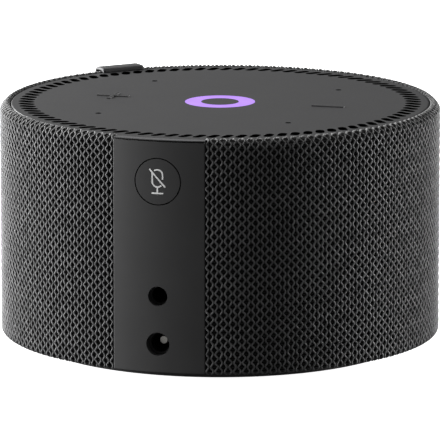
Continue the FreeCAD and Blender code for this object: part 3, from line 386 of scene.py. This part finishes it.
def unit_rows(vectors):
    """The vectors, one a row, each scaled to length 1."""
    return vectors / np.linalg.norm(vectors, axis=1)[:, None]


def round_the_axis(radius, azimuth, height):
    """Points at a radius and height. The azimuth grows from the rear panel, at -Y, towards +X."""
    return np.stack([radius * np.sin(azimuth), -radius * np.cos(azimuth), height], axis=-1)


# ---------------------------------------------------------------- knit sleeve

sleeve_low, sleeve_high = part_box("fabric_sleeve")
_, panel_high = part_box("rear_panel")
RIM_TOP = sleeve_high.z
HEM_LOW = sleeve_low.z
RIM_ROUND, HEM_ROUND, TUCK_ROUND = 2.0 * MM, 0.8 * MM, 0.35 * MM
TUCK_RADIUS = 46.7 * MM
TUCK_DEPTH = 1.7 * MM
YARN_WIDE, YARN_THICK = 0.38 * MM, 0.44 * MM
YARN_SWING, YARN_LIFT = 0.27 * MM, 0.05 * MM
YARN_PITCH = 0.983 * MM
STITCH_LENGTH = 1.90 * MM
RINGS_PER_STITCH = 8
YARN_SIDES = 8
YARN_PIECES = 7
YARN_EDGE = panel_high.x + 0.55 * MM
SLOW_WANDER, QUICK_WANDER = 3.7 * MM, 1.3 * MM
SWING_WANDER, WIDTH_WANDER = 2.3 * MM, 0.9 * MM
BACKING_INSET, BACKING_RIM_INSET = 0.52 * MM, 0.08 * MM
BACKING_EDGE = panel_high.x + 0.42 * MM
BACKING_STEP = 0.25 * MM
BACKING_COLUMNS = 360


def sleeve_profile(inset):
    """The sleeve's section as (r, z) points, inset metres inside its outer surface, from groove to hem."""
    rim = (SLEEVE_RADIUS - RIM_ROUND, RIM_TOP - RIM_ROUND)
    hem = (SLEEVE_RADIUS - HEM_ROUND, HEM_LOW + HEM_ROUND)
    tuck = (TUCK_RADIUS + TUCK_ROUND, RIM_TOP - inset - TUCK_ROUND)
    points = [(TUCK_RADIUS, RIM_TOP - TUCK_DEPTH)]
    points += arc(tuck, TUCK_ROUND, 180, 95, 8)
    points += arc(rim, RIM_ROUND - inset, 76, 0, 24)
    points += arc(hem, HEM_ROUND - inset, 0, -90, 12)
    points += [(TUCK_RADIUS, HEM_LOW + inset)]
    return points


def yarn_rings(path, slope, along, azimuth, odd, drift):
    """One wavy yarn as rings of points. drift holds three angles that make it unlike its neighbours."""
    phase = TURN * along / STITCH_LENGTH + odd * math.pi
    wander = 0.35 * np.sin(along / SLOW_WANDER + drift[0]) + 0.25 * np.sin(along / QUICK_WANDER + drift[1])
    swing = YARN_SWING * (1 + 0.16 * np.sin(along / SWING_WANDER + drift[2]))
    side = swing * (np.sin(phase + 0.45 * wander) + 0.10 * np.sin(2 * phase + 0.6))
    lift = YARN_LIFT * np.cos(phase) * (1 if odd else -1)
    turn = azimuth + side / path[:, 0]
    centre = round_the_axis(path[:, 0] + lift * slope[:, 1], turn, path[:, 1] - lift * slope[:, 0])
    ahead = unit_rows(np.gradient(centre, axis=0))
    outward = round_the_axis(-slope[:, 1], turn, slope[:, 0])
    across = unit_rows(np.cross(ahead, outward))
    outward = np.cross(across, ahead)
    corner = np.arange(YARN_SIDES) * TURN / YARN_SIDES
    wide = YARN_WIDE / 2 * (1 + 0.10 * np.sin(along / WIDTH_WANDER + drift[1]))
    sideways = (wide[:, None] * np.cos(corner))[..., None] * across[:, None, :]
    outwards = (YARN_THICK / 2 * np.sin(corner))[None, :, None] * outward[:, None, :]
    return (centre[:, None, :] + sideways + outwards).reshape(-1, 3)


def knit_yarns():
    """Wavy upright yarns, neighbours in opposite phase, so they meet in a net of oval holes."""
    dice = random.Random(4)
    path, length = even(sleeve_profile(YARN_THICK / 2), STITCH_LENGTH / RINGS_PER_STITCH)
    rings = len(path)
    along = np.linspace(0, length, rings)
    slope = unit_rows(np.gradient(path, axis=0))
    first = math.asin(YARN_EDGE / SLEEVE_RADIUS)
    count = round((TURN - 2 * first) * SLEEVE_RADIUS / YARN_PITCH)
    yarns = []
    for number, azimuth in enumerate(np.linspace(first, TURN - first, count)):
        drift = [dice.uniform(0, TURN) for _ in range(3)]
        yarns.append(yarn_rings(path, slope, along, azimuth, number % 2, drift))
    sides = grid_faces(rings, YARN_SIDES, wrap=True).tolist()
    ends = [list(range(YARN_SIDES - 1, -1, -1)), [(rings - 1) * YARN_SIDES + k for k in range(YARN_SIDES)]]
    pieces = []
    for share in np.array_split(np.arange(count), YARN_PIECES):
        points = np.concatenate([yarns[k] for k in share])
        size = rings * YARN_SIDES
        faces = [[v + size * n for v in face] for n in range(len(share)) for face in sides + ends]
        pieces.append(add_piece(f"knit_yarns_{len(pieces) + 1}", points, faces, "knit_fabric"))
    return pieces


def knit_backing():
    """The knit's dark inner layer, one open sheet turned in along both edges of the panel's gap.

    It lies deep under the side's yarns and close under those over the rim."""
    path, length = even(sleeve_profile(BACKING_INSET), BACKING_STEP)
    close, _ = even(sleeve_profile(BACKING_RIM_INSET), BACKING_STEP)
    share = np.linspace(0, 1, len(path))
    close_share = np.linspace(0, 1, len(close))
    close = np.stack([np.interp(share, close_share, close[:, k]) for k in (0, 1)], axis=1)
    below = np.clip((RIM_TOP - path[:, 1]) / RIM_ROUND, 0, 1)[:, None]
    path = close * (1 - below) + path * below
    columns = BACKING_COLUMNS
    first = math.asin(BACKING_EDGE / SLEEVE_RADIUS)
    azimuths = np.linspace(first, TURN - first, columns)
    radius = np.repeat(path[:, 0][:, None], columns, axis=1)
    radius[:, [0, -1]] = TUCK_RADIUS + 0.05 * MM
    turn = np.repeat(azimuths[None, :], len(path), axis=0)
    height = np.repeat(path[:, 1][:, None], columns, axis=1)
    points = round_the_axis(radius, turn, height).reshape(-1, 3)
    faces = grid_faces(len(path), columns, wrap=False).tolist()
    sheet = add_piece("knit_backing", points, faces, "knit_backing")
    width = (TURN - 2 * first) * (SLEEVE_RADIUS - BACKING_INSET)
    return sheet, (width, length)


yarns = knit_yarns()
backing, backing_cut = knit_backing()
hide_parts("fabric_sleeve")


# ---------------------------------------------------------------- carry loop

loop_low, loop_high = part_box("ribbon_tab")
loop_way = Vector((loop_low.x + loop_high.x, loop_low.y + loop_high.y, 0)).normalized()
loop_side = Vector((-loop_way.y, loop_way.x, 0))
LOOP_WIDE = 10.4 * MM
LOOP_THICK = 0.72 * MM
LOOP_TOP = loop_high.z - LOOP_THICK / 2 - 0.04 * MM
LOOP_INNER, LOOP_OUTER = 45.42 * MM, 49.2 * MM
NEAR_BEND, FAR_BEND = 0.48 * MM, 0.95 * MM
RIB_PITCH, RIB_HIGH = 0.42 * MM, 0.022 * MM
LOOP_EDGE = 0.25 * MM


def loop_path():
    """The tape's middle line as (r, z) points: over the rim in a low open arch, and down outside."""
    path = [(LOOP_INNER + 0.03 * MM, DISC_TOP + 0.08 * MM)]
    path += arc((LOOP_INNER + NEAR_BEND, LOOP_TOP - NEAR_BEND), NEAR_BEND, 180, 95, 12)
    path += [((LOOP_INNER + LOOP_OUTER) / 2, LOOP_TOP + 0.04 * MM)]
    path += arc((LOOP_OUTER - FAR_BEND, LOOP_TOP - FAR_BEND), FAR_BEND, 85, 0, 16)
    path += [(LOOP_OUTER + 0.04 * MM, DISC_TOP - 2.5 * MM)]
    path += [(LOOP_OUTER - 0.02 * MM, DISC_TOP - 5.0 * MM)]
    path += [(LOOP_OUTER, loop_low.z)]
    return path


def carry_loop():
    """Stiff woven tape, ribbed crosswise, with thinner edges whose paler colour is a painted highlight."""
    path, length = even(loop_path(), 0.07 * MM)
    slope = unit_rows(np.gradient(path, axis=0))
    along = np.linspace(0, length, len(path))
    rib = RIB_HIGH * np.sin(TURN * along / RIB_PITCH)
    sway = 0.04 * MM * np.sin(along / (1.9 * MM))
    across = np.linspace(-LOOP_WIDE / 2, LOOP_WIDE / 2, 29)
    edge = np.clip((LOOP_WIDE / 2 - np.abs(across)) / LOOP_EDGE, 0, 1)
    half = LOOP_THICK / 2 * np.sqrt(0.45 + 0.55 * edge)
    per_side = len(across)
    columns = []
    for face, order in ((1, range(per_side)), (-1, reversed(range(per_side)))):
        for k in order:
            off = half[k] + rib * (1 if edge[k] > 0.5 else 0.3)
            radius = path[:, 0] - face * off * slope[:, 1]
            height = path[:, 1] + face * off * slope[:, 0]
            side = across[k] + sway
            x = radius * loop_way.x + side * loop_side.x
            y = radius * loop_way.y + side * loop_side.y
            columns.append(np.stack([x, y, height], axis=-1))
    points = np.stack(columns, axis=1)
    count = points.shape[1]
    faces = grid_faces(len(path), count, wrap=True).tolist()
    faces += [list(range(count - 1, -1, -1)), [(len(path) - 1) * count + k for k in range(count)]]
    loop = add_piece("carry_loop", points.reshape(-1, 3), faces, "woven_ribbon")
    # painted highlight: the tape's side edges get the paler material for the light on them
    loop.data.materials.append(MATERIALS["ribbon_edge_highlight"])
    for face in loop.data.polygons:
        used = {v % count for v in face.vertices}
        if min(used) == per_side - 1 or used == {0, count - 1}:
            face.material_index = 1
    return loop, length


loop, loop_length = carry_loop()
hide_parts("ribbon_tab")


# ---------------------------------------------------------------- mute icon

button_low, button_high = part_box("mute_button")
BUTTON_UP = (button_low.z + button_high.z) / 2
FACE_RADIUS = -button_low.y
INK_THICK, INK_SUNK = 0.03 * MM, 0.01 * MM
STROKE = 0.33 * MM


def stroke_sides(path):
    """The two sides of a line STROKE wide along an open path."""
    ahead = unit_rows(np.gradient(path, axis=0))
    side = np.stack([-ahead[:, 1], ahead[:, 0]], axis=1) * STROKE / 2
    return path + side, path - side


def mute_icon():
    """A generic crossed-out microphone, printed proud of the button's curved face. Lines are in mm."""
    half, top, foot = 1.15, 1.45, 0.0
    right = arc((0, top), half, 128, 0, 14) + [(half, y) for y in np.linspace(top - 0.1, 0.52, 5)]
    left = [(-half, y) for y in np.linspace(1.85, foot, 8)] + arc((0, foot), half, 187, 318, 16)
    slash = [(-1.78 + 3.50 * t, 2.70 - 3.86 * t) for t in np.linspace(0, 1, 12)]
    stem = [(0, y) for y in np.linspace(-1.2, -2.4, 5)]
    stand = [(x, -2.52) for x in np.linspace(-1.3, 1.3, 6)]
    points, faces = [], []
    for line in (right, left, slash, stem, stand):
        path, _ = even(np.array(line) * MM, 0.12 * MM)
        start = len(points)
        for one, other in zip(*stroke_sides(path)):
            for (x, z), proud in ((one, True), (other, True), (other, False), (one, False)):
                radius = FACE_RADIUS + (INK_THICK if proud else -INK_SUNK)
                points.append((x, -math.sqrt(radius**2 - x**2), BUTTON_UP + z))
        last = start + 4 * (len(path) - 1)
        faces += [[start + v for v in face] for face in grid_faces(len(path), 4, wrap=True).tolist()]
        faces += [[start + v for v in (3, 2, 1, 0)], [last + v for v in (0, 1, 2, 3)]]
    icon = add_piece("mute_icon", points, faces, "icon_ink", "mute_button")
    icon.data.polygons.foreach_set("use_smooth", [False] * len(faces))


mute_icon()


# ---------------------------------------------------------------- floor, light and camera


def area_light(name, place, width, height, power):
    """A rectangular light, in metres and watts, aimed at the middle of the hub."""
    light = bpy.data.lights.new(name, "AREA")
    light.shape = "RECTANGLE"
    light.size, light.size_y = width, height
    light.energy = power
    lamp = bpy.data.objects.new(name, light)
    bpy.context.scene.collection.objects.link(lamp)
    lamp.location = place
    lamp.visible_camera = False
    lamp.rotation_euler = (MIDDLE - place).to_track_quat("-Z", "Y").to_euler()


FLOOR_HALF = 4.0
FLOOR_LOW = -0.05 * MM
corners = [(x * FLOOR_HALF, y * FLOOR_HALF, FLOOR_LOW) for x, y in ((-1, -1), (1, -1), (1, 1), (-1, 1))]
floor_mesh = bpy.data.meshes.new("floor")
floor_mesh.from_pydata(corners, [], [(0, 1, 2, 3)])
floor = bpy.data.objects.new("floor", floor_mesh)
bpy.context.scene.collection.objects.link(floor)
floor_mesh.materials.append(surface("floor", (0.80, 0.80, 0.80), 0.9, 2.0, 0.01, 0.01, Emission_Strength=1.0))
floor.visible_diffuse = False
floor.visible_glossy = False

VIEW_AZIMUTH = math.radians(15.9)
VIEW_PITCH = math.radians(11.30)
VIEW_DISTANCE = 1.17146
VIEW_HEIGHT = 0.2603
SENSOR_WIDTH, FOCAL_LENGTH = 36, 439.55
to_camera = Vector((math.sin(VIEW_AZIMUTH), -math.cos(VIEW_AZIMUTH), 0))
to_left = Vector((-math.cos(VIEW_AZIMUTH), -math.sin(VIEW_AZIMUTH), 0))

MIDDLE = Vector((0, 0, 0.03))
area_light("overhead", Vector((0, 0, 2.2)) - to_camera * 0.3, 2.4, 2.4, 51)
area_light("key_left", to_left * 0.60 - to_camera * 0.04 + Vector((0, 0, 0.20)), 0.46, 0.36, 12)
area_light("near_left", to_left * 0.24 - to_camera * 0.17 + Vector((0, 0, 0.15)), 0.10, 0.10, 2.4)
area_light("fill_right", -to_left * 0.70 - to_camera * 0.30 + Vector((0, 0, 0.12)), 0.40, 0.20, 11.5)

world = bpy.data.worlds.new("studio")
world.use_nodes = True
world.node_tree.nodes["Background"].inputs["Color"].default_value = (0.18, 0.18, 0.18, 1)
bpy.context.scene.world = world

lens = bpy.data.cameras.new("camera")
lens.sensor_width = SENSOR_WIDTH
lens.lens = FOCAL_LENGTH
camera = bpy.data.objects.new("camera", lens)
bpy.context.scene.collection.objects.link(camera)
camera.location = to_camera * VIEW_DISTANCE + Vector((0, 0, VIEW_HEIGHT))
camera.rotation_euler = (math.pi / 2 - VIEW_PITCH, 0, VIEW_AZIMUTH)
bpy.context.scene.camera = camera
bpy.context.scene.view_settings.view_transform = "Standard"
